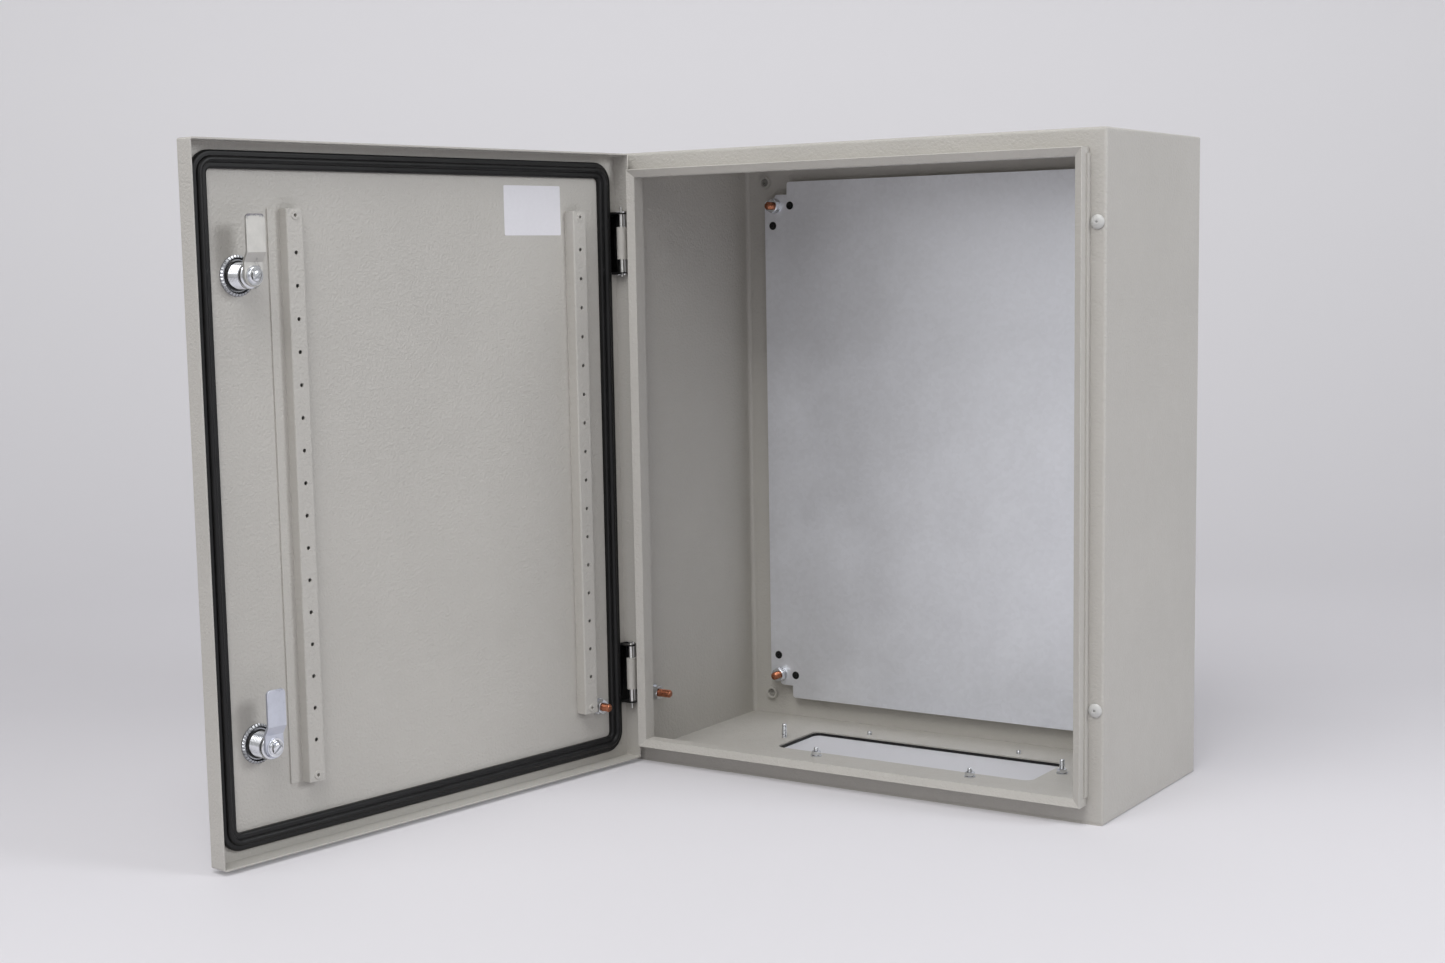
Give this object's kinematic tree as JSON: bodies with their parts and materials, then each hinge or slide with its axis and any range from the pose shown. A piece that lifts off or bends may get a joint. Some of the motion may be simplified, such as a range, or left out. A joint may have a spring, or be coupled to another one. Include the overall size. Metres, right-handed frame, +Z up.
{
  "type": "dc combiner box",
  "caption": "Wall-mounted sheet-steel electrical enclosure with a hinged, sealed door, quarter-turn locks, a galvanised mounting plate and a cable entry in its floor.",
  "frame": {"origin": "middle of the back panel's outer face, where the box meets the wall", "axes": "+Z up, -Y out of the mouth towards the door side, +X to the right seen from the door side; the hinges are on the -X side"},
  "size_m": [0.5751, 0.7249, 0.6],
  "materials": {
    "grey_paint": "textured satin light grey",
    "galvanised_sheet": "matt zinc",
    "copper_plate": "copper plated thread",
    "black_seal": "matt foam",
    "black_steel": "satin black",
    "zinc_plate": "bright zinc",
    "bright_chrome": "polished"
  },
  "bodies": {
    "cabinet": {"body_shell": "grey_paint", "back_panel": "grey_paint", "wall_bushes": "grey_paint", "mounting_plate": "galvanised_sheet", "plate_studs": "copper_plate", "plate_spacers": "zinc_plate", "plate_washers": "bright_chrome", "plate_nuts": "bright_chrome", "gland_plate": "galvanised_sheet", "gland_gasket": "black_seal", "gland_studs": "zinc_plate", "gland_washers": "bright_chrome", "gland_nuts": "bright_chrome", "blanking_plugs": "bright_chrome", "body_earth_stud": "copper_plate", "body_earth_washer": "bright_chrome", "body_earth_nut": "bright_chrome", "top_hinge_barrel": "grey_paint", "bottom_hinge_barrel": "grey_paint"},
    "door": {"door_shell": "grey_paint", "door_gasket": "black_seal", "profile_free_side": "grey_paint", "profile_hinge_side": "grey_paint", "profile_rivets": "grey_paint", "door_earth_stud": "copper_plate", "door_earth_washer": "bright_chrome", "door_earth_nut": "bright_chrome", "top_hinge_bracket": "black_steel", "bottom_hinge_bracket": "black_steel", "top_hinge_pin": "bright_chrome", "bottom_hinge_pin": "bright_chrome", "top_lock_housing": "bright_chrome", "bottom_lock_housing": "bright_chrome", "top_lock_seal": "black_seal", "bottom_lock_seal": "black_seal", "top_lock_ring": "bright_chrome", "bottom_lock_ring": "bright_chrome", "top_lock_nut": "black_steel", "bottom_lock_nut": "black_steel"},
    "top_lock": {"top_lock_rotor": "bright_chrome", "top_lock_cam": "zinc_plate", "top_lock_washer": "bright_chrome", "top_lock_bolt": "bright_chrome"},
    "bottom_lock": {"bottom_lock_rotor": "bright_chrome", "bottom_lock_cam": "zinc_plate", "bottom_lock_washer": "bright_chrome", "bottom_lock_bolt": "bright_chrome"}
  },
  "joints": [
    {"name": "door_hinge", "type": "hinge", "parent": "cabinet", "child": "door", "pos_m": [-0.2436, -0.2365, 0], "axis": [0, 0, 1], "range_deg": [-22, 98]},
    {"name": "top_lock_turn", "type": "hinge", "parent": "door", "child": "top_lock", "pos_m": [-0.30343, -0.67302, 0.1895], "axis": [0.9903, -0.1392, 0], "range_deg": [0, 90]},
    {"name": "bottom_lock_turn", "type": "hinge", "parent": "door", "child": "bottom_lock", "pos_m": [-0.30343, -0.67302, -0.2], "axis": [0.9903, -0.1392, 0], "range_deg": [0, 90]}
  ]
}
